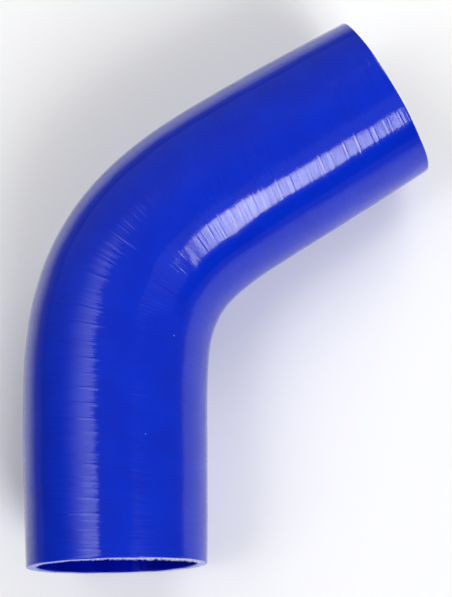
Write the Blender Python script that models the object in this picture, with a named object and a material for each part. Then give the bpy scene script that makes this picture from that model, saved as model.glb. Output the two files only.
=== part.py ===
"""Silicone elbow hose: a fabric-reinforced tube of one piece, two straight legs joined by one bend.

The hose lies on its side on the ground plane, which is Z = 0, with its bend in the horizontal plane.
Leg A points along -Y and leg B turns off towards +X. The origin is under the middle of the hose's
bounding box. Both ends are square cuts, made with a knife after the rubber was cured.
"""

import math

import bmesh
import bpy
import numpy as np

MM = 0.001

# Bore: the mandrel that the plies are laid on, so it is the same all the way through.
BORE_RADIUS = 38.0 * MM

# Wall: plies overlap across the bend, so the wall is thickest there and thins towards each cut end.
WALL_AT_END_A = 4.8 * MM
WALL_AT_END_B = 4.1 * MM
WALL_AT_BEND = 6.8 * MM

# Centreline. A leg is measured from its cut end to the corner where the two straight lines would cross.
LEG_A = 150.0 * MM
LEG_B = 154.7 * MM
BEND_ANGLE = math.radians(62.2)
BEND_RADIUS = 70.6 * MM
BEND_EASE = 13.9 * MM  # how far the curvature takes to come in and to fade out

# Marks of the tape that presses the plies down during the cure: low steps right round the outside.
WRAP_PITCH = 7.2 * MM
WRAP_WANDER = 0.18  # share of the pitch by which a turn of tape strays from its place
WRAP_HEIGHT = 0.20 * MM
WRAP_STEP = 0.9 * MM  # length over which the surface drops at the edge of a turn
WRAP_SEED = 7

CUT_EDGE = 0.35 * MM  # the knife's edge, eased by handling

SIDES = 48  # facets round the tube
BEND_RINGS = 14  # stations of the smooth bore round the bend
STATIONS = 1200  # steps in which the centreline is worked out

SILICONE_BLUE = (0.008, 0.028, 0.50, 1.0)
SILICONE_ROUGHNESS = 0.28


def clear_scene():
    for thing in list(bpy.data.objects):
        bpy.data.objects.remove(thing)


class Centreline:
    """The hose's centreline in the plane Z = 0, and the places along it where the bend starts and ends."""

    def __init__(self):
        tangent_length = BEND_RADIUS * math.tan(BEND_ANGLE / 2)
        self.bend_start = LEG_A - tangent_length
        self.bend_end = self.bend_start + BEND_RADIUS * BEND_ANGLE
        self.length = self.bend_end + LEG_B - tangent_length
        self.along = np.linspace(0, self.length, STATIONS)
        self.turned = self.heading(self.along)
        step = self.length / (STATIONS - 1)
        east = np.sin(self.turned)
        north = np.cos(self.turned)
        self.x = np.concatenate([[0], np.cumsum((east[1:] + east[:-1]) / 2)]) * step
        self.y = np.concatenate([[0], np.cumsum((north[1:] + north[:-1]) / 2)]) * step

    def heading(self, along):
        """How far the tube has turned from +Y towards +X: a ramp through the bend with soft corners."""
        turned_in = BEND_EASE * np.logaddexp(0, (along - self.bend_start) / BEND_EASE)
        turned_out = BEND_EASE * np.logaddexp(0, (along - self.bend_end) / BEND_EASE)
        return (turned_in - turned_out) / BEND_RADIUS

    def section(self, along):
        """The centre of a section across the tube, and the direction across it in the bend's plane."""
        turned = np.interp(along, self.along, self.turned)
        centre = (np.interp(along, self.along, self.x), np.interp(along, self.along, self.y))
        return centre, (math.cos(turned), -math.sin(turned))


def wall(line, along):
    """Wall thickness: it grows from each cut end towards the bend, fast at first and then levelling off."""
    if along < line.bend_start:
        share = along / line.bend_start
        at_end = WALL_AT_END_A
    elif along > line.bend_end:
        share = (line.length - along) / (line.length - line.bend_end)
        at_end = WALL_AT_END_B
    else:
        return WALL_AT_BEND
    return WALL_AT_BEND - (WALL_AT_BEND - at_end) * (1 - share) ** 2


def wrap_edges(line):
    """Where each turn of tape ended: evenly wound by hand, so each edge strays a little."""
    stray = np.random.default_rng(WRAP_SEED)
    turns = int(line.length / WRAP_PITCH)
    spacing = line.length / turns
    places = [spacing * (turn + 0.5) for turn in range(turns)]
    return [place + spacing * WRAP_WANDER * stray.uniform(-1, 1) for place in places]


def outside_sections(line):
    """(distance along, radius) of each section of the outside, from end A to end B."""
    sections = []
    radius_a = BORE_RADIUS + WALL_AT_END_A
    radius_b = BORE_RADIUS + WALL_AT_END_B
    sections.append((0, radius_a - CUT_EDGE))
    sections.append((CUT_EDGE, radius_a))
    for edge in wrap_edges(line):
        high = edge - WRAP_STEP / 2
        low = edge + WRAP_STEP / 2
        sections.append((high, BORE_RADIUS + wall(line, high) + WRAP_HEIGHT))
        sections.append((low, BORE_RADIUS + wall(line, low)))
    sections.append((line.length - CUT_EDGE, radius_b))
    sections.append((line.length, radius_b - CUT_EDGE))
    return sections


def bore_sections(line):
    """(distance along, radius) of each section of the bore, from end B back to end A."""
    reach = 3 * BEND_EASE  # past this the tube runs straight
    first = max(line.bend_start - reach, 2 * CUT_EDGE)
    last = min(line.bend_end + reach, line.length - 2 * CUT_EDGE)
    sections = [(line.length, BORE_RADIUS + CUT_EDGE), (line.length - CUT_EDGE, BORE_RADIUS)]
    for along in np.linspace(last, first, BEND_RINGS + 2):
        sections.append((along, BORE_RADIUS))
    sections += [(CUT_EDGE, BORE_RADIUS), (0, BORE_RADIUS + CUT_EDGE)]
    return sections


def add_ring(bm, line, along, radius):
    """One ring of vertices square across the tube. It starts on the inside of the bend."""
    (x, y), (across_x, across_y) = line.section(along)
    ring = []
    for side in range(SIDES):
        angle = 2 * math.pi * side / SIDES
        level = radius * math.cos(angle)
        ring.append(bm.verts.new((x + level * across_x, y + level * across_y, radius * math.sin(angle))))
    return ring


def skin_rings(bm, rings):
    """Faces from each ring to the next, and from the last back to the first, which closes the wall."""
    for ring, following in zip(rings, rings[1:] + rings[:1]):
        for side in range(SIDES):
            beside = (side + 1) % SIDES
            bm.faces.new((ring[side], following[side], following[beside], ring[beside]))


def lay_down(bm):
    """Moves the hose so that it lies on Z = 0 with its bounding box centred over the origin."""
    places = np.array([vert.co for vert in bm.verts])
    low = places.min(axis=0)
    high = places.max(axis=0)
    middle = (low + high) / 2
    bmesh.ops.translate(bm, verts=bm.verts, vec=(-middle[0], -middle[1], -low[2]))


def silicone():
    material = bpy.data.materials.new("blue_silicone")
    material.use_nodes = True
    shader = material.node_tree.nodes["Principled BSDF"]
    shader.inputs["Base Color"].default_value = SILICONE_BLUE
    shader.inputs["Roughness"].default_value = SILICONE_ROUGHNESS
    shader.inputs["Metallic"].default_value = 0.0
    material.diffuse_color = SILICONE_BLUE
    return material


def make_hose():
    """The tube is one band of rings: along the outside to end B and back through the bore to end A."""
    line = Centreline()
    bm = bmesh.new()
    rings = [add_ring(bm, line, along, radius) for along, radius in outside_sections(line) + bore_sections(line)]
    skin_rings(bm, rings)
    bmesh.ops.recalc_face_normals(bm, faces=bm.faces)
    lay_down(bm)
    mesh = bpy.data.meshes.new("elbow_hose")
    bm.to_mesh(mesh)
    bm.free()
    hose = bpy.data.objects.new("elbow_hose", mesh)
    bpy.context.scene.collection.objects.link(hose)
    hose.data.materials.append(silicone())
    mesh.shade_smooth()
    mesh.set_sharp_from_angle(angle=math.radians(30))
    return hose


clear_scene()
make_hose()
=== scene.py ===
# %% [markdown]
# # A silicone elbow hose
# The object is a fabric-reinforced coupler for an engine bay: two straight legs and one bend, open at
# both ends. It is a single piece of rubber, so nearly all of its character sits in the skin. Four
# plies of coated polyester are laid on a polished steel former, tape is wound round them under
# tension, and the hose is cured. The tape is then peeled off and leaves a low ridge at every turn.
# This lesson builds that skin as real relief, opens the two cut ends, lets the fabric fray out of
# them, and lights the result the way a small product studio would.

# %% Load the fixed frame
import math

import bmesh
import bpy
import numpy as np
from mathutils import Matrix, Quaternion, Vector


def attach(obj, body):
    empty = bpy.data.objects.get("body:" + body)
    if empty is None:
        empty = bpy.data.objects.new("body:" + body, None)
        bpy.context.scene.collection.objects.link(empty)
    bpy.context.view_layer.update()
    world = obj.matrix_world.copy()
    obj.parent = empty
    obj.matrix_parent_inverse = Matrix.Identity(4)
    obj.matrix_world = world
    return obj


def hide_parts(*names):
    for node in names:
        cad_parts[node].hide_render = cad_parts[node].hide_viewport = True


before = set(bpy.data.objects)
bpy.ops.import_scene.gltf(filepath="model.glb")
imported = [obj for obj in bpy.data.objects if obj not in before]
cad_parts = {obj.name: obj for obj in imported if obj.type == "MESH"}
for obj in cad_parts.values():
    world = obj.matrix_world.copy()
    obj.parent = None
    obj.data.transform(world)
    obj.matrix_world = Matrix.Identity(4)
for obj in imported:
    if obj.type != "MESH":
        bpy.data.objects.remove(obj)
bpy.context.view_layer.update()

MM = 0.001
frame_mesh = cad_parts["elbow_hose"].data
frame_points = np.array([vert.co for vert in frame_mesh.vertices])

# %% [markdown]
# ## The sizes of the hose
# The frame gives the hose at its real size, but as bare faces. To lay a finer skin over it we need
# the same centreline: straight, then a bend whose curvature fades in and out, then straight again.
# The numbers below are the hose's own driving sizes. A curve object with a bevel would have been
# quicker, but it can't carry a wall that changes along its length, nor ridges that stray sideways.

# %% Driving sizes
BORE_RADIUS = 38.0 * MM
WALL_AT_END_A = 4.8 * MM
WALL_AT_END_B = 4.1 * MM
WALL_AT_BEND = 6.8 * MM
LEG_A = 150.0 * MM
LEG_B = 154.7 * MM
BEND_ANGLE = math.radians(62.2)
BEND_RADIUS = 70.6 * MM
BEND_EASE = 13.9 * MM
WRAP_PITCH = 7.2 * MM
WRAP_WANDER = 0.18
WRAP_SEED = 7
CUT_EDGE = 0.35 * MM

tangent_length = BEND_RADIUS * math.tan(BEND_ANGLE / 2)
bend_start = LEG_A - tangent_length
bend_end = bend_start + BEND_RADIUS * BEND_ANGLE
hose_length = bend_end + LEG_B - tangent_length
print("length along the centreline", round(hose_length / MM, 1), "mm")

# %% The centreline, set onto the frame's own cut end
LINE_POINTS = 2400
LINE_SPARE = 2 * MM
FLAT_WITHIN = 0.01 * MM
face_a = frame_points[frame_points[:, 1] < frame_points[:, 1].min() + FLAT_WITHIN]
end_a = (face_a.min(axis=0) + face_a.max(axis=0)) / 2


def heading(along):
    """How far the tube has turned from +Y towards +X."""
    turned_in = BEND_EASE * np.logaddexp(0, (along - bend_start) / BEND_EASE)
    turned_out = BEND_EASE * np.logaddexp(0, (along - bend_end) / BEND_EASE)
    return (turned_in - turned_out) / BEND_RADIUS


line_along = np.linspace(-LINE_SPARE, hose_length + LINE_SPARE, LINE_POINTS)
line_heading = heading(line_along)
line_step = line_along[1] - line_along[0]
line_east = np.sin(line_heading)
line_north = np.cos(line_heading)
line_x = np.concatenate([[0], np.cumsum((line_east[1:] + line_east[:-1]) / 2)]) * line_step
line_y = np.concatenate([[0], np.cumsum((line_north[1:] + line_north[:-1]) / 2)]) * line_step
line_x += end_a[0] - np.interp(0, line_along, line_x)
line_y += end_a[1] - np.interp(0, line_along, line_y)
print("end A at", end_a.round(5), "line ends at", line_x[-1].round(4), line_y[-1].round(4))


# %% Places on the tube, and how thick its wall is
def tube_point(along, angle, radius):
    """Places on the tube. Angle 0 is the inside of the bend, and a quarter turn is the top."""
    x = np.interp(along, line_along, line_x)
    y = np.interp(along, line_along, line_y)
    turned = np.interp(along, line_along, line_heading)
    level = radius * np.cos(angle)
    x = x + level * np.cos(turned)
    y = y - level * np.sin(turned)
    return np.stack([x, y, end_a[2] + radius * np.sin(angle)], axis=-1)


def wall(along):
    """Wall thickness: full across the bend, thinner towards each cut end."""
    share_a = np.clip(along / bend_start, 0, 1)
    share_b = np.clip((hose_length - along) / (hose_length - bend_end), 0, 1)
    loss_a = (WALL_AT_BEND - WALL_AT_END_A) * (1 - share_a) ** 2
    loss_b = (WALL_AT_BEND - WALL_AT_END_B) * (1 - share_b) ** 2
    return WALL_AT_BEND - loss_a - loss_b


# %% [markdown]
# ## The camera
# The photograph looks down on the hose from about eight tenths of a metre with a long lens, a
# little from the front. A camera could be placed by eye, but the outline of a bent tube shows the
# smallest error, so this one was fitted until the modelled outline met the real one. The camera
# comes first, because the lamps are then set so that their reflections fall where they should.

# %% Camera
CAMERA_PLACE = (0.09105, -0.19708, 0.79762)
CAMERA_TURN = (14.0649, 7.4029, -1.7979)
CAMERA_LENS = 96.482

camera_data = bpy.data.cameras.new("camera")
camera_data.lens = CAMERA_LENS
camera_data.sensor_width = 36.0
camera_data.clip_start = 0.01
camera = bpy.data.objects.new("camera", camera_data)
camera.location = CAMERA_PLACE
camera.rotation_euler = [math.radians(turn) for turn in CAMERA_TURN]
bpy.context.scene.collection.objects.link(camera)
bpy.context.scene.camera = camera
bpy.context.scene.view_settings.view_transform = "Standard"
print("camera lens", CAMERA_LENS, "mm, at", CAMERA_PLACE)

# %% [markdown]
# ## Nodes without clutter
# Materials, lamps and the sky are all node trees. One small helper adds a node, sets its options and
# fills its inputs, either with a value or with another node's output. The short ones after it stand
# for the kinds of node that turn up most, and hand back their output. They could be left out, but
# then every material would be three times as long and its idea would be lost among the links.

# %% A helper that adds a node
def add_node(tree, kind, inputs, **options):
    """Inputs go by name or number, and hold a value or another node's output."""
    node = tree.nodes.new(kind)
    for option, choice in options.items():
        setattr(node, option, choice)
    for name, value in inputs.items():
        if isinstance(value, bpy.types.NodeSocket):
            tree.links.new(value, node.inputs[name])
        else:
            node.inputs[name].default_value = value
    return node


# %% Helpers for the kinds of node that turn up most
def ramp(tree, value, low, high, at_low, at_high):
    """A smooth step from one value to another."""
    limits = {"Value": value, "From Min": low, "From Max": high, "To Min": at_low, "To Max": at_high}
    return add_node(tree, "ShaderNodeMapRange", limits, interpolation_type="SMOOTHSTEP").outputs[0]


def math_of(tree, operation, *values):
    """One step of arithmetic on values or outputs."""
    return add_node(tree, "ShaderNodeMath", dict(enumerate(values)), operation=operation).outputs[0]


def mix_of(tree, share, first, second):
    """A colour between two colours."""
    node = add_node(tree, "ShaderNodeMix", {0: share, 6: first, 7: second}, data_type="RGBA")
    return node.outputs[2]


def vector_of(tree, operation, *vectors):
    """One step of arithmetic on vectors. Some operations give a single value instead of a vector."""
    node = add_node(tree, "ShaderNodeVectorMath", dict(enumerate(vectors)), operation=operation)
    return node.outputs["Value" if operation in ("LENGTH", "DISTANCE", "DOT_PRODUCT") else "Vector"]


def noise_of(tree, place, scale, detail, roughness=0.5):
    """A cloudy value round one half."""
    inputs = {"Vector": place, "Scale": scale, "Detail": detail, "Roughness": roughness}
    return add_node(tree, "ShaderNodeTexNoise", inputs).outputs[0]


def stored(tree, name, output):
    """What each point of the mesh carries under a name."""
    return add_node(tree, "ShaderNodeAttribute", {}, attribute_name=name).outputs[output]


# %% [markdown]
# ## Floor, lamps and surroundings
# A glossy blue tube shows its lamps more than it shows its own shape. Two reflections matter: a
# pair of bright soft boxes side by side in front on the right draw the hard strip along leg B, and
# a large dim panel high on the left draws the soft band along leg A. A wide halo and two fills lift
# the blue without drawing a line of their own. Everything else is a quiet sky, a little brighter at
# the back and darker on the left and behind the front soft boxes. The floor's colour is pale round
# the hose and darkens softly outside the picture, a painted falloff of light, so its reflection
# along the flanks stays narrow. A picture of a studio could light the hose from all round, but area
# lamps are rectangles just as soft boxes are, and each can be moved or dimmed by itself.

# %% Floor
FLOOR_SIZE = 30.0
FLOOR_TONE = (0.92, 0.92, 0.92, 1)
FLOOR_FAR = (0.24, 0.24, 0.24, 1)
PALE_REACH = (0.24, 0.56)
PALE_STRETCH = (1.45, 1.0, 1.0)


def new_material(name, constants):
    """A Principled material. Constants are the values that are the same all over the surface."""
    material = bpy.data.materials.new(name)
    material.use_nodes = True
    shader = material.node_tree.nodes["Principled BSDF"]
    for socket, value in constants.items():
        shader.inputs[socket].default_value = value
    return material, material.node_tree, shader


paper, tree, shader = new_material("studio_paper", {"Roughness": 0.9, "Specular IOR Level": 0.0})
floor_place = tree.nodes.new("ShaderNodeNewGeometry").outputs["Position"]
# Painted falloff of light: the floor's colour darkens with distance from the hose, sooner along x.
from_hose = vector_of(tree, "LENGTH", vector_of(tree, "MULTIPLY", floor_place, PALE_STRETCH))
far = ramp(tree, from_hose, *PALE_REACH, 0.0, 1.0)
tree.links.new(mix_of(tree, far, FLOOR_TONE, FLOOR_FAR), shader.inputs["Base Color"])
edge = FLOOR_SIZE / 2
floor_corners = [(-edge, -edge, 0), (edge, -edge, 0), (edge, edge, 0), (-edge, edge, 0)]
floor_mesh = bpy.data.meshes.new("floor")
floor_mesh.from_pydata(floor_corners, [], [(0, 1, 2, 3)])
floor_mesh.materials.append(paper)
floor = bpy.data.objects.new("floor", floor_mesh)
bpy.context.scene.collection.objects.link(floor)
print("floor", FLOOR_SIZE, "m across, tone", FLOOR_TONE[0], "to", FLOOR_FAR[0])

# %% A soft box, given by the direction that it is seen in from the hose
HOSE_MIDDLE = Vector((-0.01, 0.02, 0.06))


def direction(azimuth, elevation):
    """A unit vector: azimuth is counted from +X towards +Y."""
    flat = math.cos(math.radians(elevation))
    turn = math.radians(azimuth)
    return Vector((flat * math.cos(turn), flat * math.sin(turn), math.sin(math.radians(elevation))))


def soft_box(name, azimuth, elevation, wide, high, distance, radiance, roll=0, fades=()):
    """A lamp so many degrees wide and high, rolled about its own axis.

    A fade dims it across its face: (share of x, share of y, low, high, strength at low, at high).
    """
    data = bpy.data.lights.new(name, "AREA")
    data.shape = "RECTANGLE"
    data.size = 2 * distance * math.tan(math.radians(wide / 2))
    data.size_y = 2 * distance * math.tan(math.radians(high / 2))
    data.energy = radiance * math.pi * data.size * data.size_y
    lamp = bpy.data.objects.new(name, data)
    towards = direction(azimuth, elevation)
    lamp.location = HOSE_MIDDLE + towards * distance
    facing = towards.to_track_quat("Z", "Y") @ Quaternion((0, 0, 1), math.radians(roll))
    lamp.rotation_euler = facing.to_euler()
    bpy.context.scene.collection.objects.link(lamp)
    data.use_nodes = True
    tree = data.node_tree
    place = tree.nodes.new("ShaderNodeNewGeometry").outputs["Parametric"]
    strength = 1.0
    for share_x, share_y, *limits in fades:
        across = vector_of(tree, "DOT_PRODUCT", place, (share_x, share_y, 0))
        strength = math_of(tree, "MULTIPLY", strength, ramp(tree, across, *limits))
    if fades:
        tree.links.new(strength, tree.nodes["Emission"].inputs["Strength"])
    print(name, round(data.size, 2), "by", round(data.size_y, 2), "m, power", round(data.energy, 1))


# %% The six lamps
soft_box(
    "front_soft_box", azimuth=-49, elevation=36, wide=14.6, high=22, distance=8, radiance=9.4,
    fades=((0, 1, 0.8, 1, 1, 0.6), (1, 0, 0, 1, 1.2, 0.8)),
)
soft_box(
    "side_soft_box", azimuth=-63.9, elevation=40, wide=10.2, high=30, distance=8, radiance=16.5,
    fades=((0.236, 1, 0.95, 0.98, 1, 0),),
)
soft_box("front_halo", azimuth=-35, elevation=42, wide=44, high=44, distance=2.6, radiance=0.3)
soft_box(
    "left_panel", azimuth=171.1, elevation=53.3, wide=47.3, high=40.7, distance=2.0,
    radiance=2.2, roll=28.65,
    fades=(
        (0, 1, 0.08, 0.86, 0.04, 1),
        (0, 1, 0.95, 1, 1, 0.4),
        (1, 0, 0.0, 0.56, 0.0, 1),
        (1, 0, 0.62, 0.9, 1, 1.8),
        (-0.44, 1.45, 1.11, 1.35, 1, 0.1),
    ),
)
soft_box("back_fill", azimuth=55, elevation=38, wide=32, high=30, distance=1.6, radiance=3.3)
soft_box("left_fill", azimuth=-150, elevation=50, wide=24, high=34, distance=2.0, radiance=1.3)

# %% Surroundings: a dim sky, darker on the left and darkest behind the front soft boxes
SKY_TONE = 0.20
SKY_DARK = 0.05
SKY_BACK = 0.14
SKY_LEFT = 0.11
DARK_TOWARDS = direction(-52, -8)
BACK_TOWARDS = direction(105, 20)
LEFT_TOWARDS = direction(178, 8)
DARK_FADE = (0.55, 0.93)
BACK_FADE = (0.3, 0.8)
LEFT_FADE = (0.78, 0.97)

world = bpy.data.worlds.new("studio")
bpy.context.scene.world = world
world.use_nodes = True
sky = world.node_tree
sky_place = sky.nodes.new("ShaderNodeTexCoord").outputs["Generated"]


def sky_facing(towards):
    """How closely each direction of the sky points towards a given one."""
    return vector_of(sky, "DOT_PRODUCT", sky_place, towards)


sky_front = ramp(sky, sky_facing(DARK_TOWARDS), *DARK_FADE, SKY_TONE, SKY_DARK)
sky_back = ramp(sky, sky_facing(BACK_TOWARDS), *BACK_FADE, 0.0, SKY_BACK)
sky_left = ramp(sky, sky_facing(LEFT_TOWARDS), *LEFT_FADE, 0.0, SKY_LEFT)
sky_light = math_of(sky, "SUBTRACT", math_of(sky, "ADD", sky_front, sky_back), sky_left)
sky.links.new(sky_light, sky.nodes["Background"].inputs["Strength"])
sky.nodes["Background"].inputs["Color"].default_value = (1, 1, 1, 1)
print("sky", SKY_TONE, "and", SKY_DARK, "behind the front soft boxes")

# %% [markdown]
# ## Where the tape was wound
# On the real hose a nylon tape, pulled tight by hand, goes round and round from one end to the
# other. It advances as it goes, so every turn leans a few millimetres from square. Each turn
# overlaps the last, and rubber is squeezed up along its edge. Taken all round, each edge sits where
# the frame has a step. It also strays a little on the way, and no two turns press equally hard,
# which is what breaks the highlight into short tilted pieces. One long spiral would do for the path
# of the tape, but separate turns can stray one by one, and they square up with the cut ends.

# %% The edge of every turn of tape
turns = int(hose_length / WRAP_PITCH)
spacing = hose_length / turns
stray = np.random.default_rng(WRAP_SEED)
turn_edges = np.array(
    [spacing * (turn + 0.5) + spacing * WRAP_WANDER * stray.uniform(-1, 1) for turn in range(turns)]
)
print(turns, "turns of tape,", round(spacing / MM, 2), "mm apart")

# %% How the turns lean, and how each edge strays round the tube
LEAN = 5.5 * MM
LEAN_TOP = math.radians(80)
LEAN_EASE = 30 * MM
STRAY_ONCE = 0.35 * MM
STRAY_TWICE = 0.15 * MM
LAY_SEED = 23
SIDES = 138

angles = np.linspace(0, 2 * np.pi, SIDES, endpoint=False)


def lean(along, angle):
    """How far a turn of tape lies from square, easing out towards the cut ends."""
    eased = np.clip(along / LEAN_EASE, 0, 1) * np.clip((hose_length - along) / LEAN_EASE, 0, 1)
    return LEAN * eased * np.sin(angle - LEAN_TOP)


lay = np.random.default_rng(LAY_SEED)
once = lay.normal(0, STRAY_ONCE, (2, turns, 1))
twice = lay.normal(0, STRAY_TWICE, (2, turns, 1))
strays = once[0] * np.cos(angles) + once[1] * np.sin(angles)
strays += twice[0] * np.cos(2 * angles) + twice[1] * np.sin(2 * angles)
strays += lean(turn_edges[:, None], angles)
print("edges stray by up to", round(np.abs(strays).max() / MM, 2), "mm")

# %% [markdown]
# ## A skin of rings
# The outside is a grid: stations along the tube, and points round each station. Even spacing would
# waste faces on the smooth middle of a turn and miss the ridge at its edge, which is little more
# than a millimetre wide. So the stations crowd together at each edge and spread out between two
# edges. The grid lines bend with the edges, so a ridge never cuts across the faces.

# %% Stations of the outside
RIDGE_WIDTH = 0.78 * MM
RIDGE_OFFSETS = np.array([-0.8, -0.45, -0.15, 0.15, 0.45, 0.8, 1.0, 1.1, 1.2, 1.3, 1.6]) * RIDGE_WIDTH
SPANS_BETWEEN = 5


def outside_stations():
    """Rows of (distance along at each angle, number of the turn)."""
    level = 0 * angles
    rows = []
    for turn in range(turns + 1):
        start = level + CUT_EDGE
        if turn > 0:
            start = turn_edges[turn - 1] + RIDGE_OFFSETS[-1] + strays[turn - 1]
        stop = level + hose_length - CUT_EDGE
        if turn < turns:
            stop = turn_edges[turn] + RIDGE_OFFSETS[0] + strays[turn]
        shares = np.linspace(0, 1, SPANS_BETWEEN + 1)
        shares = shares[1 if turn else 0 : -1 if turn < turns else None]
        rows += [(start * (1 - share) + stop * share, turn) for share in shares]
        if turn < turns:
            rows += [(turn_edges[turn] + offset + strays[turn], turn + 1) for offset in RIDGE_OFFSETS]
    return rows


stations = outside_stations()
station_along = np.array([row[0] for row in stations])
print(len(stations), "stations of", SIDES, "points")

# %% [markdown]
# ## The relief of the skin
# Four things are added to the plain radius. The ridge at the start of each turn comes first, each
# with a strength of its own. It is a few hundredths of a millimetre high, and clear only in two
# bands, along the top of leg A and along the inner side of leg B: elsewhere the rubber flowed back
# nearly flat. Then every turn gets a slow unevenness round the tube. A long waviness comes from the
# plies below, and makes the edges of the highlights wander. Last come two hollows at the inside of
# the bend, where the plies bunch up on the former: a broad flat and one pleat. All of it is made of
# smooth waves with fixed seeds, so that it is the same on every run. Sculpting or a displacement
# texture could do it too, but neither could be measured against the real hose in millimetres.

# %% The ridge of each turn
RIDGE_RISE = (0.024 * MM, 0.062 * MM)
RIDGE_LEG_A = 1.7
RIDGE_KEPT = 0.2
RIDGE_END_B = 1.8
RISE_SHARPNESS = 5.0
DROP_SHARPNESS = 12.0
DROP_PLACE = 1.15
RIDGE_SWING = 0.2
PRESS_SEED = 41

press = np.random.default_rng(PRESS_SEED)
ridge_of_turn = press.uniform(*RIDGE_RISE, turns + 1)
phase_of_turn = press.uniform(0, 2 * np.pi, turns + 1)


def soft_step(value):
    """Rises from 0 to 1 where the value passes zero. The clip keeps the power within range."""
    return 1 / (1 + np.exp(np.clip(-value, -40, 40)))


# %% The two bands in which the ridges are clear: middle and reach in degrees, then where they end
BAND_LEG_A = (99, 14)
BAND_LEG_B = (54, 12)
BAND_A_STOP = 160 * MM
BAND_A_EASE = 8 * MM
BAND_B_START = 164 * MM
BAND_B_EASE = 3 * MM
NEAR_END_B = 235 * MM
END_B_EASE = 10 * MM
FAINT = 0.25


def band(middle, reach):
    """1 along one line of the tube, falling off on both sides of it."""
    return np.exp(-(((np.degrees(angles) - middle) / reach) ** 2))


def marked(along):
    """How clearly the tape has printed, as a share of a ridge's full height."""
    on_leg_a = band(*BAND_LEG_A) * soft_step((BAND_A_STOP - along) / BAND_A_EASE)
    on_leg_b = band(*BAND_LEG_B) * soft_step((along - BAND_B_START) / BAND_B_EASE)
    towards_b = 1 + (RIDGE_END_B - 1) * soft_step((along - NEAR_END_B) / END_B_EASE)
    return FAINT + (RIDGE_LEG_A - FAINT) * on_leg_a + (towards_b - FAINT) * on_leg_b


print("marked up to", round(float(marked(NEAR_END_B).max()), 2), "near end B")


# %% One ridge
def turn_relief(along, turn):
    """The ridge at which a turn starts: a gentle rise, a short drop, and a rest that thins out."""
    strength = 1 - RIDGE_SWING + RIDGE_SWING * np.cos(angles + phase_of_turn[turn])
    height = strength * ridge_of_turn[turn] * marked(along)
    after = turn_edges[turn] + strays[turn] if turn < turns else hose_length
    before = turn_edges[turn - 1] + strays[turn - 1] if turn else 0.0
    share = np.clip((after - along) / (after - before), 0, 1)
    if turn == 0:
        return height * RIDGE_KEPT * share
    past = (along - before) / RIDGE_WIDTH
    rest = 1 - soft_step(DROP_SHARPNESS * (past - DROP_PLACE))
    return height * soft_step(RISE_SHARPNESS * past) * (RIDGE_KEPT * share + (1 - RIDGE_KEPT) * rest)


# %% Unevenness of each turn, and the long waviness
PRESS_RISE = 0.028 * MM
PRESS_WAVES = (5, 9, 14)
LONG_RISE = 0.020 * MM
LONG_WAVES = 14
LONG_COUNTS = (1, 7)
LONG_LENGTHS = (18 * MM, 60 * MM)

press_size = press.normal(0, 1, (len(PRESS_WAVES), turns + 1))
press_phase = press.uniform(0, 2 * np.pi, (len(PRESS_WAVES), turns + 1))
long_count = press.integers(*LONG_COUNTS, LONG_WAVES)
long_length = press.uniform(*LONG_LENGTHS, LONG_WAVES)
long_phase = press.uniform(0, 2 * np.pi, (2, LONG_WAVES))


def press_relief(turn):
    """How unevenly one turn was pulled."""
    waves = [
        size[turn] * np.cos(count * angles + phase[turn]) / math.sqrt(count)
        for count, size, phase in zip(PRESS_WAVES, press_size, press_phase)
    ]
    return PRESS_RISE * sum(waves)


def blended_press(along, turn):
    """The unevenness of a turn takes over from the one before across the ridge."""
    if turn == 0:
        return press_relief(turn)
    share = soft_step(RISE_SHARPNESS * (along - turn_edges[turn - 1] - strays[turn - 1]) / RIDGE_WIDTH)
    return press_relief(turn - 1) * (1 - share) + press_relief(turn) * share


def long_relief(along):
    """The slow swell of the plies."""
    waves = [
        np.cos(2 * np.pi * along / length + phase) * np.cos(count * angles + turn_phase)
        for count, length, phase, turn_phase in zip(long_count, long_length, *long_phase)
    ]
    return LONG_RISE * sum(waves)


# %% Hollows at the inside of the bend
def hollow(along, middle, spread, angle, spread_angle, depth, slant=0.0):
    """A shallow dent, sizes in mm and degrees. Slant moves its middle along for each degree round."""
    away_round = np.degrees((angles - math.radians(angle) + np.pi) % (2 * np.pi) - np.pi)
    away_along = (along / MM - middle - slant * away_round) / spread
    return -depth * MM * np.exp(-(away_along**2) - (away_round / spread_angle) ** 2)


relief = np.array([turn_relief(row, turn) + blended_press(row, turn) for row, turn in stations])
relief += long_relief(station_along)
relief += hollow(station_along, middle=188, spread=26, angle=52, spread_angle=10, depth=0.38)
relief += hollow(
    station_along, middle=160.4, spread=3.8, angle=50, spread_angle=6.5, depth=0.26, slant=0.25
)
print("relief from", (relief.min() / MM).round(3), "to", (relief.max() / MM).round(3), "mm")

# %% [markdown]
# ## Cut ends and bore
# The long cured tube is cut to length with a knife, so the end faces are nearly flat, with corners
# that are barely eased. Inside, the rubber copied the polished former, so the bore needs few rings.
# The whole wall is made as one closed band: outside, cut face, bore, cut face, and back to the
# start. A boolean cut of two tubes would give the same wall, but with torn faces along the ridges.

# %% How the knife strayed
KNIFE_STRAY = 0.05 * MM
KNIFE_WAVES = (2, 3, 5, 8, 13)
KNIFE_SEED = 5

knife = np.random.default_rng(KNIFE_SEED)


def knife_line():
    """How far the cut leaves its plane round the tube."""
    sizes = knife.normal(0, KNIFE_STRAY, len(KNIFE_WAVES))
    phases = knife.uniform(0, 2 * np.pi, len(KNIFE_WAVES))
    waves = [
        size * np.cos(count * angles + phase) for size, count, phase in zip(sizes, KNIFE_WAVES, phases)
    ]
    return sum(waves)


cut_a = knife_line()
cut_b = hose_length + knife_line()
most = max(abs(cut_a).max(), abs(cut_b - hose_length).max())
print("knife strays by up to", round(most / MM, 2), "mm")

# %% Rings of the whole wall
BORE_RINGS = 40
MOUTH_RINGS = (1.0, 1.5, 3.0, 8.0)
OUTSIDE, BORE, CUT = range(3)
FACE_SHARES = (0.8, 0.6, 0.4, 0.2)
CORNER_SHARE = 0.3

rings = []


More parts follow.
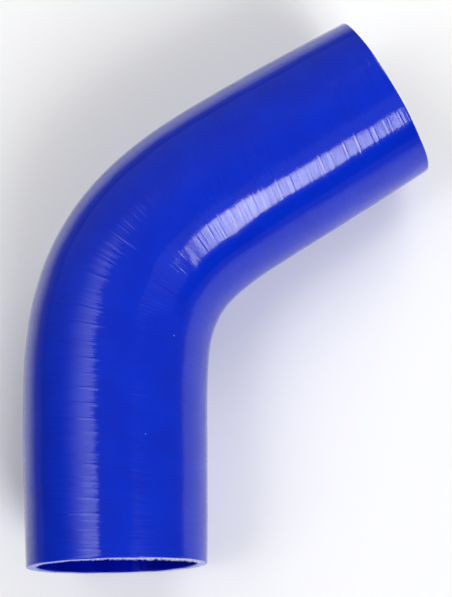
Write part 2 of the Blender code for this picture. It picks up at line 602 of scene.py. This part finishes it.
def add_ring(part, along, radius, wall_share):
    """One ring of points. Part is the kind of face between it and the next ring."""
    along = along + 0 * angles
    radius = radius + 0 * angles
    rings.append((part, along, radius, wall_share))


outside_radius = BORE_RADIUS + wall(station_along) + relief


def add_face(along, outer, shares):
    """The rings of one cut face, between its two eased corners."""
    inner = BORE_RADIUS + CUT_EDGE
    for share in shares:
        add_ring(CUT, along, inner + share * (outer - CUT_EDGE - inner), share)


# %% Outside, cut face, bore and cut face in turn
add_ring(OUTSIDE, cut_a, outside_radius[0] - CUT_EDGE, 1.0)
add_ring(OUTSIDE, cut_a + CORNER_SHARE * CUT_EDGE, outside_radius[0] - CORNER_SHARE * CUT_EDGE, 1.0)
for along, radius in zip(station_along, outside_radius):
    add_ring(OUTSIDE, along, radius, 1.0)
add_ring(OUTSIDE, cut_b - CORNER_SHARE * CUT_EDGE, outside_radius[-1] - CORNER_SHARE * CUT_EDGE, 1.0)
add_face(cut_b, outside_radius[-1], (1.0, *FACE_SHARES))
add_ring(BORE, cut_b, BORE_RADIUS + CUT_EDGE, 0.0)
mouth = np.array(MOUTH_RINGS) * CUT_EDGE
bore_middle = np.linspace(0, hose_length, BORE_RINGS)[1:-1]
bore_along = np.concatenate([mouth, bore_middle, hose_length - mouth[::-1]])
for along in bore_along[::-1]:
    add_ring(BORE, along, BORE_RADIUS, 0.0)
add_ring(CUT, cut_a, BORE_RADIUS + CUT_EDGE, 0.0)
add_face(cut_a, outside_radius[0], FACE_SHARES[::-1])
print(len(rings), "rings in all")

# %% One closed band of faces
SHARP_ANGLE = math.radians(50)

ring_total = len(rings)
ring_part = np.array([ring[0] for ring in rings])
ring_along = np.array([ring[1] for ring in rings])
ring_radius = np.array([ring[2] for ring in rings])
ring_share = np.repeat([ring[3] for ring in rings], SIDES)

this_ring = np.repeat(np.arange(ring_total), SIDES)
next_ring = (this_ring + 1) % ring_total
side = np.tile(np.arange(SIDES), ring_total)
next_side = (side + 1) % SIDES
corners = [(this_ring, side), (this_ring, next_side), (next_ring, next_side), (next_ring, side)]
faces = np.stack([ring * SIDES + place for ring, place in corners], axis=1)

wall_points = tube_point(ring_along, angles, ring_radius).reshape(-1, 3)
hose_mesh = bpy.data.meshes.new("hose_wall")
hose_mesh.from_pydata(wall_points.tolist(), [], faces.tolist())
hose_mesh.update()
hose_mesh.polygons.foreach_set("material_index", ring_part[this_ring].astype(np.int32))
hose_mesh.shade_smooth()
top_face = hose_mesh.polygons[SIDES * (len(stations) // 2) + SIDES // 4]
if top_face.normal.z < 0:
    hose_mesh.flip_normals()
hose_mesh.set_sharp_from_angle(angle=SHARP_ANGLE)
hose = bpy.data.objects.new("hose_wall", hose_mesh)
bpy.context.scene.collection.objects.link(hose)
print("triangles", 2 * len(faces))

# %% [markdown]
# ## Coordinates for the materials
# A pattern that is meant to run round the tube needs to know where round is. Object coordinates
# would slice straight through the bend, and a flat map would show a seam. So each point carries its
# place on the hose as if the hose had been pulled straight: how far along, then across and up. The
# lean of the turns is taken out of it, so that lines drawn square across it lean as the tape does.
# Each point also carries its depth in the wall, from 0 at the bore to 1 outside, for the plies that
# show in the cut faces.

# %% Two attributes on the wall
across = ring_radius * np.cos(angles)
up = ring_radius * np.sin(angles)
straight_place = np.stack([ring_along - lean(ring_along, angles), across, up], axis=-1)
place_attribute = hose_mesh.attributes.new("straight_place", "FLOAT_VECTOR", "POINT")
place_attribute.data.foreach_set("vector", straight_place.astype(np.float32).ravel())
depth_attribute = hose_mesh.attributes.new("wall_depth", "FLOAT", "POINT")
depth_attribute.data.foreach_set("value", ring_share.astype(np.float32))
print("points with a straight place", len(place_attribute.data))

# %% [markdown]
# ## Effects that the materials share
# Fine grain and dust turn up on more than one surface, so each is a node group. Fine grain is the
# bloom and mottling of cured rubber, and on the threads it is the unevenness of the fibre. Dust is
# what any glossy rubber picks up on a bench. Wrap lines belong to the outside alone: they are the
# fine lines and creases that the tape leaves between its ridges. They are a group as well, so that
# another wrapped hose could take them over. A group puts out masks and heights only, and each
# material decides what they do to it.

# %% A helper for groups
def new_group(name, inputs, outputs):
    """A node group with named sockets. An input is (name, kind, value) and an output is (name, kind)."""
    tree = bpy.data.node_groups.new(name, "ShaderNodeTree")
    for label, kind, value in inputs:
        socket = tree.interface.new_socket(name=label, in_out="INPUT", socket_type="NodeSocket" + kind)
        if value is not None:
            socket.default_value = value
    for label, kind in outputs:
        tree.interface.new_socket(name=label, in_out="OUTPUT", socket_type="NodeSocket" + kind)
    return tree, tree.nodes.new("NodeGroupInput").outputs, tree.nodes.new("NodeGroupOutput").inputs


def use_group(tree, group, **values):
    """Places a group in a material. Its values are given with _ for a space."""
    inputs = {name.replace("_", " "): value for name, value in values.items()}
    node = tree.nodes.new("ShaderNodeGroup")
    node.node_tree = group
    for name, value in inputs.items():
        if isinstance(value, bpy.types.NodeSocket):
            tree.links.new(value, node.inputs[name])
        else:
            node.inputs[name].default_value = value
    return node.outputs


# %% Fine grain
MOTTLE_SIZE = 16 * MM
MOST_NOISE = (0.3, 0.7)

fine_grain, given, result = new_group(
    "fine_grain",
    [("Place", "Vector", None), ("Grain Size", "Float", 0.6 * MM)],
    [("Height", "Float"), ("Mottle", "Float")],
)
grain_scale = math_of(fine_grain, "DIVIDE", 1.0, given["Grain Size"])
grain = noise_of(fine_grain, given["Place"], grain_scale, detail=3.0)
mottle = noise_of(fine_grain, given["Place"], 1 / MOTTLE_SIZE, detail=2.0)
fine_grain.links.new(grain, result["Height"])
fine_grain.links.new(ramp(fine_grain, mottle, *MOST_NOISE, 0.0, 1.0), result["Mottle"])
print("fine grain, mottled every", MOTTLE_SIZE / MM, "mm")

# %% Wrap lines
LINE_STRETCH = (1.0, 0.05, 0.05)
CREASE_STRETCH = (1.0, 0.03, 0.03)
CREASE_SCALE = 0.6
CREASE_WIDTH = 0.018
BREAK_SCALE = 70.0
BREAK_EDGE = (0.42, 0.55)

wrap_lines, given, result = new_group(
    "wrap_lines",
    [("Place", "Vector", None), ("Line Gap", "Float", 1.1 * MM)],
    [("Height", "Float"), ("Creases", "Float")],
)
stretched = vector_of(wrap_lines, "MULTIPLY", given["Place"], LINE_STRETCH)
drawn_out = vector_of(wrap_lines, "MULTIPLY", given["Place"], CREASE_STRETCH)
line_scale = math_of(wrap_lines, "DIVIDE", 1.0, given["Line Gap"])
crease_scale = math_of(wrap_lines, "DIVIDE", CREASE_SCALE, given["Line Gap"])
lines = noise_of(wrap_lines, stretched, line_scale, detail=3.0, roughness=0.6)
hills = noise_of(wrap_lines, drawn_out, crease_scale, detail=1.0)
breaks = noise_of(wrap_lines, given["Place"], BREAK_SCALE, detail=1.0)
from_middle = math_of(wrap_lines, "ABSOLUTE", math_of(wrap_lines, "SUBTRACT", hills, 0.5))
thin = ramp(wrap_lines, from_middle, 0.0, CREASE_WIDTH, 1.0, 0.0)
crease_and_shade = math_of(wrap_lines, "MULTIPLY", thin, ramp(wrap_lines, breaks, *BREAK_EDGE, 0.0, 1.0))
wrap_lines.links.new(crease_and_shade, result["Creases"])
wrap_lines.links.new(lines, result["Height"])
print("wrap lines stretched", round(1 / LINE_STRETCH[1]), "times round the tube")

# %% Dust
bench_dust, given, result = new_group(
    "bench_dust",
    [
        ("Place", "Vector", None),
        ("Cell Size", "Float", 9 * MM),
        ("Speck Size", "Float", 0.3 * MM),
        ("Share", "Float", 0.3),
    ],
    [("Specks", "Float")],
)
cell_scale = math_of(bench_dust, "DIVIDE", 1.0, given["Cell Size"])
cells = add_node(bench_dust, "ShaderNodeTexVoronoi", {"Vector": given["Place"], "Scale": cell_scale})
chance = add_node(bench_dust, "ShaderNodeSeparateColor", {0: cells.outputs["Color"]}).outputs[0]
speck_reach = math_of(bench_dust, "MULTIPLY", given["Speck Size"], cell_scale)
near = math_of(bench_dust, "LESS_THAN", cells.outputs["Distance"], speck_reach)
chosen = math_of(bench_dust, "LESS_THAN", chance, given["Share"])
bench_dust.links.new(math_of(bench_dust, "MULTIPLY", near, chosen), result["Specks"])
print("groups:", [group.name for group in (fine_grain, wrap_lines, bench_dust)])

# %% [markdown]
# ## Silicone outside
# Pigmented silicone is a clear rubber full of blue: the colour is deep and even, and the surface is
# glossy because the tape was smooth. The creases are a little duller than the skin round them, with
# painted shade darkening their colour, and they crowd on leg B just past the bend, where the skin
# was gathered. A handful of specks are placed where the real hose shows them, and the rest are left
# to chance. All of the relief here is finer than the mesh, so it is bump. Real displacement could
# show it too, but it would need a point every third of a millimetre, which is some ten times the faces.

# %% Colours and sizes of the outside
SILICONE_BLUE = (0.0, 0.022, 0.52, 1)
SILICONE_SHADE = (0.0, 0.018, 0.47, 1)
CREASE_PAINTED_SHADE = (0.0, 0.010, 0.30, 1)
DUST_GREY = (0.42, 0.46, 0.72, 1)
SILICONE_IOR = 1.43
GLOSS = (0.07, 0.10)
CROWDED_PLACE = (196.0, 68.0)
CROWDED_REACH = (7 * MM, 19 * MM)
CROWDED_STRETCH = (0.25, 1.0, 1.0)
CREASES_ELSEWHERE = 0.4
CREASE_SHADE_SHARE = 0.85
CREASE_DULLNESS = 0.15
DUST_SHARE = 0.35
BUMP_UNIT = 1 * MM
LINE_HEIGHT = 0.15
CREASE_HEIGHT = -0.012
GRAIN_HEIGHT = 0.003


def skin_place(along, angle):
    """The straight place of a point on the skin, from mm along and degrees round."""
    radius = BORE_RADIUS + float(wall(along * MM))
    turn = math.radians(angle)
    return along * MM - float(lean(along * MM, turn)), radius * math.cos(turn), radius * math.sin(turn)


# %% Material of the outside
silicone, tree, shader = new_material("silicone_outside", {"IOR": SILICONE_IOR})
place = stored(tree, "straight_place", "Vector")
grain = use_group(tree, fine_grain, Place=place, Grain_Size=0.9 * MM)
wrap = use_group(tree, wrap_lines, Place=place, Line_Gap=1.6 * MM)
dust = use_group(tree, bench_dust, Place=place, Cell_Size=11 * MM, Speck_Size=0.16 * MM, Share=0.25)
colour = mix_of(tree, grain["Mottle"], SILICONE_BLUE, SILICONE_SHADE)
offset = vector_of(tree, "SUBTRACT", place, skin_place(*CROWDED_PLACE))
from_crowd = vector_of(tree, "LENGTH", vector_of(tree, "MULTIPLY", offset, CROWDED_STRETCH))
crowded = ramp(tree, from_crowd, *CROWDED_REACH, 1.0, CREASES_ELSEWHERE)
crease_and_shade = math_of(tree, "MULTIPLY", wrap["Creases"], crowded)
# Painted shade: the creases are darkened in colour as well as dulled and bumped.
colour = mix_of(tree, math_of(tree, "MULTIPLY", crease_and_shade, CREASE_SHADE_SHARE), colour, CREASE_PAINTED_SHADE)
colour = mix_of(tree, math_of(tree, "MULTIPLY", dust["Specks"], DUST_SHARE), colour, DUST_GREY)
roughness = ramp(tree, grain["Mottle"], 0.0, 1.0, *GLOSS)
roughness = math_of(tree, "MULTIPLY_ADD", crease_and_shade, CREASE_DULLNESS, roughness)
height = math_of(tree, "MULTIPLY", wrap["Height"], LINE_HEIGHT)
height = math_of(tree, "MULTIPLY_ADD", crease_and_shade, CREASE_HEIGHT, height)
height = math_of(tree, "MULTIPLY_ADD", grain["Height"], GRAIN_HEIGHT, height)
bump = add_node(tree, "ShaderNodeBump", {"Height": height, "Distance": BUMP_UNIT, "Strength": 1.0})
tree.links.new(bump.outputs[0], shader.inputs["Normal"])
print("outside material", silicone.name)

# %% Specks that the real hose shows: mm along, degrees round, radius in mm and colour
SPECK_DULLNESS = 0.5
SPECK_CORE = 0.5
SPECKS = (
    (55.9, 60.7, 0.34, (0.14, 0.22, 0.80, 1)),
    (107.5, 43.0, 0.34, (0.45, 0.52, 0.92, 1)),
    (65.2, 81.0, 0.42, (0.0, 0.004, 0.16, 1)),
    (203.8, 50.2, 0.34, (0.0, 0.010, 0.20, 1)),
    (201.6, 48.2, 0.40, (0.0, 0.010, 0.20, 1)),
    (32.4, 92.3, 0.38, (0.0, 0.008, 0.20, 1)),
    (24.9, 26.5, 0.38, (0.05, 0.10, 0.66, 1)),
    (43.4, 12.0, 0.50, (0.0, 0.010, 0.26, 1)),
)
for along, angle, reach, speck_colour in SPECKS:
    centre = skin_place(along, angle)
    away = vector_of(tree, "DISTANCE", place, centre)
    inside = ramp(tree, away, SPECK_CORE * reach * MM, reach * MM, 1.0, 0.0)
    colour = mix_of(tree, inside, colour, speck_colour)
    roughness = math_of(tree, "MULTIPLY_ADD", inside, SPECK_DULLNESS, roughness)
tree.links.new(colour, shader.inputs["Base Color"])
tree.links.new(roughness, shader.inputs["Roughness"])
print(len(SPECKS), "specks placed by hand")

# %% [markdown]
# ## The bore
# The bore is coloured a darker blue than the outside, as painted shade inside the tube, and is
# smooth from the steel. Lengthwise streaks are left by the former as the hose is pulled off it. A
# scratched texture with a map could show them, but one noise that is stretched along the straight
# place follows the bend by itself and has no seam.

# %% Material of the bore
# Painted shade: both bore colours are darker than the outside because less light reaches into the tube;
# the mix between them is random mottle.
BORE_SHADED_BLUE = (0.0, 0.005, 0.36, 1)
BORE_SHADED_MOTTLE = (0.0, 0.003, 0.26, 1)
BORE_GLOSS = (0.10, 0.2)
BORE_DUST_SHARE = 0.3
STREAK_STRETCH = (0.04, 1.0, 1.0)
STREAK_SCALE = 600.0
STREAK_HEIGHT = 0.003
BORE_GRAIN_HEIGHT = 0.002

shaded_bore, tree, shader = new_material("silicone_bore", {"IOR": SILICONE_IOR})
place = stored(tree, "straight_place", "Vector")
drawn = vector_of(tree, "MULTIPLY", place, STREAK_STRETCH)
streak = noise_of(tree, drawn, STREAK_SCALE, detail=2.0)
grain = use_group(tree, fine_grain, Place=place, Grain_Size=1.5 * MM)
dust = use_group(tree, bench_dust, Place=place, Cell_Size=14 * MM, Speck_Size=0.2 * MM, Share=0.3)
colour = mix_of(tree, grain["Mottle"], BORE_SHADED_BLUE, BORE_SHADED_MOTTLE)
colour = mix_of(tree, math_of(tree, "MULTIPLY", dust["Specks"], BORE_DUST_SHARE), colour, DUST_GREY)
tree.links.new(colour, shader.inputs["Base Color"])
tree.links.new(ramp(tree, streak, *MOST_NOISE, *BORE_GLOSS), shader.inputs["Roughness"])
height = math_of(tree, "MULTIPLY", streak, STREAK_HEIGHT)
height = math_of(tree, "MULTIPLY_ADD", grain["Height"], BORE_GRAIN_HEIGHT, height)
bump = add_node(tree, "ShaderNodeBump", {"Height": height, "Distance": BUMP_UNIT, "Strength": 1.0})
tree.links.new(bump.outputs[0], shader.inputs["Normal"])
print("bore material", shaded_bore.name)

# %% [markdown]
# ## The cut faces
# A knife leaves silicone matt and a little paler, with fine strokes across the wall. Where it
# passes through the four plies, their yarns show as rings of pale dots. A picture of a cut end could
# be laid on each face, but the two walls differ. So the rings are drawn from the depth in the wall,
# and the dots from the angle, and both fit either end.

# %% Colours and sizes of the cut faces
PLIES = 4
YARNS_ROUND = 228
CUT_BLUE = (0.10, 0.13, 0.62, 1)
PLY_PALE = (0.62, 0.64, 0.86, 1)
FRAYED_SHARE = 0.35
FRAYED_SPREAD = (0.35, 0.65)
PLY_WIDTH = (0.12, 0.30)
PLY_LIMIT = (0.4, 0.6)
YARN_DOT = (-0.6, 0.4)
YARN_GAP_SHARE = 0.35
MATT = (0.5, 0.75)
STROKE_SCALE = 1800.0
STROKE_HEIGHT = 0.05
YARN_HEIGHT = 0.06

# %% Material of the cut faces
cut_rubber, tree, shader = new_material("silicone_cut", {"IOR": SILICONE_IOR, "Specular IOR Level": 0.3})
place = stored(tree, "straight_place", "Vector")
depth = stored(tree, "wall_depth", "Fac")
axes = add_node(tree, "ShaderNodeSeparateXYZ", {0: place}).outputs
around = math_of(tree, "ARCTAN2", axes["Z"], axes["Y"])
layers = math_of(tree, "MULTIPLY", depth, PLIES + 1.0)
from_ply = math_of(tree, "PINGPONG", layers, 0.5)
near_bore = ramp(tree, layers, *PLY_LIMIT, 0.0, 1.0)
near_skin = ramp(tree, layers, PLIES + PLY_LIMIT[0], PLIES + PLY_LIMIT[1], 1.0, 0.0)
ply = ramp(tree, from_ply, *PLY_WIDTH, 1.0, 0.0)
ply = math_of(tree, "MULTIPLY", ply, math_of(tree, "MULTIPLY", near_bore, near_skin))
yarn_wave = math_of(tree, "SINE", math_of(tree, "MULTIPLY", around, float(YARNS_ROUND)))
yarn = math_of(tree, "MULTIPLY", ply, ramp(tree, yarn_wave, *YARN_DOT, YARN_GAP_SHARE, 1.0))
grain = use_group(tree, fine_grain, Place=place, Grain_Size=0.35 * MM)
stroke = noise_of(tree, place, STROKE_SCALE, detail=3.0)
frayed = ramp(tree, grain["Height"], *FRAYED_SPREAD, 0.0, FRAYED_SHARE)
colour = mix_of(tree, frayed, CUT_BLUE, PLY_PALE)
colour = mix_of(tree, yarn, colour, PLY_PALE)
tree.links.new(colour, shader.inputs["Base Color"])
tree.links.new(ramp(tree, stroke, *MOST_NOISE, *MATT), shader.inputs["Roughness"])
height = math_of(tree, "MULTIPLY", stroke, STROKE_HEIGHT)
height = math_of(tree, "MULTIPLY_ADD", yarn, YARN_HEIGHT, height)
bump = add_node(tree, "ShaderNodeBump", {"Height": height, "Distance": BUMP_UNIT, "Strength": 1.0})
tree.links.new(bump.outputs[0], shader.inputs["Normal"])
print("cut material", cut_rubber.name)

# %% The finished wall takes the place of the plain one
for material in (silicone, shaded_bore, cut_rubber):
    hose_mesh.materials.append(material)
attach(hose, "root")
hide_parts("elbow_hose")
print("wall materials", [material.name for material in hose_mesh.materials])

# %% [markdown]
# ## Frayed plies
# The knife can't cut polyester as cleanly as rubber, so stubs of yarn stand out of each cut face and
# hang over the mouth as small white teeth. At end A they are longest on the upper right. A particle
# system could scatter them, but they would float free of the plies. Here each stub is a short bent
# prism with its root inside the wall, set in one of the four plies at the pitch of the weave.

# %% Sizes of the stubs
STRANDS_PER_YARN = 3
STRAND_RADIUS = 0.10 * MM
STRAND_TAPER = np.array([1.0, 1.0, 0.9, 0.55])
STRAND_REACH = np.array([0.0, 0.35, 0.7, 1.0])
STRAND_CORNERS = 4 * len(STRAND_TAPER)
ROOT_DEPTH = 0.3 * MM
SPLAY = 0.45
TUFTS_ROUND = 97
TUFT_PHASE = 6.28
TUFT_STRAY = 0.6
TUFT_MIDDLE = 0.25
TUFT_SWING = 0.4
YARN_STRAY = 0.25
LENGTH_STRAY = (0.7, 1.15)
STRAND_STRAY_OUT = 0.14 * MM
STRAND_STRAY_ROUND = 0.16 * MM
STAIN_NEAT = 0.75
STAIN_LOSS = 0.7
STAIN_STRAY = 0.15
print("stubs", 2 * STRAND_RADIUS / MM, "mm thick,", STRANDS_PER_YARN, "to a yarn")


# %% Where the stubs are rooted
def strand_roots(seed, wall_thickness, lengths):
    """Radius, angle, length, sideways splay and blue stain of every strand in the four plies."""
    fray = np.random.default_rng(seed)
    ply_share = np.arange(1, PLIES + 1) / (PLIES + 1)
    ply_radius = BORE_RADIUS + ply_share * wall_thickness
    yarn_angle = np.linspace(0, 2 * np.pi, YARNS_ROUND, endpoint=False)
    radius, angle = np.meshgrid(ply_radius, yarn_angle, indexing="ij")
    angle = angle + fray.normal(0, YARN_STRAY, angle.shape) * 2 * np.pi / YARNS_ROUND
    tuft_phase = fray.uniform(0, TUFT_PHASE, (PLIES, 1))
    tuft = np.cos(TUFTS_ROUND * angle + tuft_phase) + fray.normal(0, TUFT_STRAY, angle.shape)
    shortest, longest, ragged = lengths(angle)
    length = shortest + (longest - shortest) * np.clip(TUFT_MIDDLE + TUFT_SWING * tuft, 0, 1)
    count = (*angle.shape, STRANDS_PER_YARN)
    length = length[..., None] * fray.uniform(*LENGTH_STRAY, count)
    radius = radius[..., None] + fray.normal(0, STRAND_STRAY_OUT, count)
    angle = angle[..., None] + fray.normal(0, STRAND_STRAY_ROUND, count) / BORE_RADIUS
    stain = STAIN_NEAT - STAIN_LOSS * ragged[..., None] + fray.normal(0, STAIN_STRAY, count)
    splay = fray.normal(0, SPLAY, (2, *count)) * length
    return radius, angle, length, splay, np.clip(stain, 0, 1)


# %% Each stub as a closed prism
def strand_corners(radius, angle, length, splay, cut_place, outwards):
    """Distance along, angle and radius of every corner of every strand."""
    splay_round, splay_out = splay
    out = -ROOT_DEPTH + STRAND_REACH * (length[..., None] + ROOT_DEPTH)
    bend = np.clip(out / length[..., None], 0, 1) ** 2
    quarter = np.arange(4) * np.pi / 2 + np.pi / 4
    side_round = STRAND_RADIUS * STRAND_TAPER[:, None] * np.cos(quarter)
    side_out = STRAND_RADIUS * STRAND_TAPER[:, None] * np.sin(quarter)
    corner_radius = (radius[..., None] + splay_out[..., None] * bend)[..., None] + side_out
    corner_round = (splay_round[..., None] * bend)[..., None] + side_round
    corner_angle = angle[..., None, None] + corner_round / radius[..., None, None]
    face = np.interp(corner_angle % (2 * np.pi), angles, cut_place)
    corner_along = face + outwards * out[..., None]
    return corner_along, corner_angle, corner_radius


def strand_faces(strands):
    """Four walls for each of the three lengths of a strand, and a cap on each end."""
    last = STRAND_CORNERS - 1
    caps = [[0, 1, 2, 3], [last, last - 1, last - 2, last - 3]]
    walls = []
    for first in range(0, STRAND_CORNERS - 4, 4):
        for place in range(4):
            after = (place + 1) % 4
            walls.append([first + after, first + place, first + 4 + place, first + 4 + after])
    first_corner = np.arange(strands)[:, None, None] * STRAND_CORNERS
    return (first_corner + np.array(caps + walls)).reshape(-1, 4)


# %% Polyester
YARN_WHITE = (0.84, 0.85, 0.93, 1)
YARN_STAINED = (0.36, 0.40, 0.84, 1)
FLECK = 0.12

polyester, tree, shader = new_material("polyester_yarn", {"IOR": 1.5, "Specular IOR Level": 0.35})
own_place = tree.nodes.new("ShaderNodeTexCoord").outputs["Object"]
grain = use_group(tree, fine_grain, Place=own_place, Grain_Size=0.2 * MM)
stain = stored(tree, "stain", "Fac")
fleck = ramp(tree, grain["Height"], *MOST_NOISE, -FLECK, FLECK)
colour = mix_of(tree, math_of(tree, "ADD", stain, fleck), YARN_WHITE, YARN_STAINED)
tree.links.new(colour, shader.inputs["Base Color"])
tree.links.new(ramp(tree, grain["Height"], *MOST_NOISE, *MATT), shader.inputs["Roughness"])
print("yarn material", polyester.name)

# %% How long the stubs are: the shortest and the longest
NEAT_A = (0.15 * MM, 0.45 * MM)
RAGGED_A = (0.50 * MM, 1.40 * MM)
RAGGED_MIDDLE = 45
RAGGED_REACH = 48
NEAT_B = (0.10 * MM, 0.45 * MM)
RAGGED_SHARE_B = 0.25


def long_upper_right(angle):
    """End A: shortest and longest stub, and how ragged the cut is."""
    away = (np.degrees(angle) - RAGGED_MIDDLE + 180) % 360 - 180
    share = np.exp(-((away / RAGGED_REACH) ** 2))
    shortest, longest = [neat + (ragged - neat) * share for neat, ragged in zip(NEAT_A, RAGGED_A)]
    return shortest, longest, share


def short_all_round(angle):
    """End B: the same for a cleaner cut."""
    level = 0 * angle
    return NEAT_B[0] + level, NEAT_B[1] + level, RAGGED_SHARE_B + level


print("stubs at end A up to", RAGGED_A[1] / MM, "mm, at end B up to", NEAT_B[1] / MM, "mm")


# %% One piece of threads for each end
def thread_piece(name, seed, cut_place, outwards, wall_thickness, lengths):
    """All the stubs of one end as a single mesh. Outwards is 1 or -1 along the hose."""
    *roots, stain = strand_roots(seed, wall_thickness, lengths)
    along, angle, radius = strand_corners(*roots, cut_place, outwards)
    mesh = bpy.data.meshes.new(name)
    points = tube_point(along, angle, radius).reshape(-1, 3)
    mesh.from_pydata(points.tolist(), [], strand_faces(stain.size).tolist())
    mesh.update()
    tidy = bmesh.new()
    tidy.from_mesh(mesh)
    bmesh.ops.recalc_face_normals(tidy, faces=tidy.faces)
    tidy.to_mesh(mesh)
    tidy.free()
    point_stain = np.repeat(stain.ravel(), STRAND_CORNERS).astype(np.float32)
    mesh.attributes.new("stain", "FLOAT", "POINT").data.foreach_set("value", point_stain)
    mesh.materials.append(polyester)
    piece = bpy.data.objects.new(name, mesh)
    bpy.context.scene.collection.objects.link(piece)
    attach(piece, "root")
    print(name, stain.size, "strands,", 2 * len(mesh.polygons), "triangles")


thread_piece(
    "ply_threads_end_a", seed=11, cut_place=cut_a, outwards=-1,
    wall_thickness=WALL_AT_END_A, lengths=long_upper_right,
)
thread_piece(
    "ply_threads_end_b", seed=12, cut_place=cut_b, outwards=1,
    wall_thickness=WALL_AT_END_B, lengths=short_all_round,
)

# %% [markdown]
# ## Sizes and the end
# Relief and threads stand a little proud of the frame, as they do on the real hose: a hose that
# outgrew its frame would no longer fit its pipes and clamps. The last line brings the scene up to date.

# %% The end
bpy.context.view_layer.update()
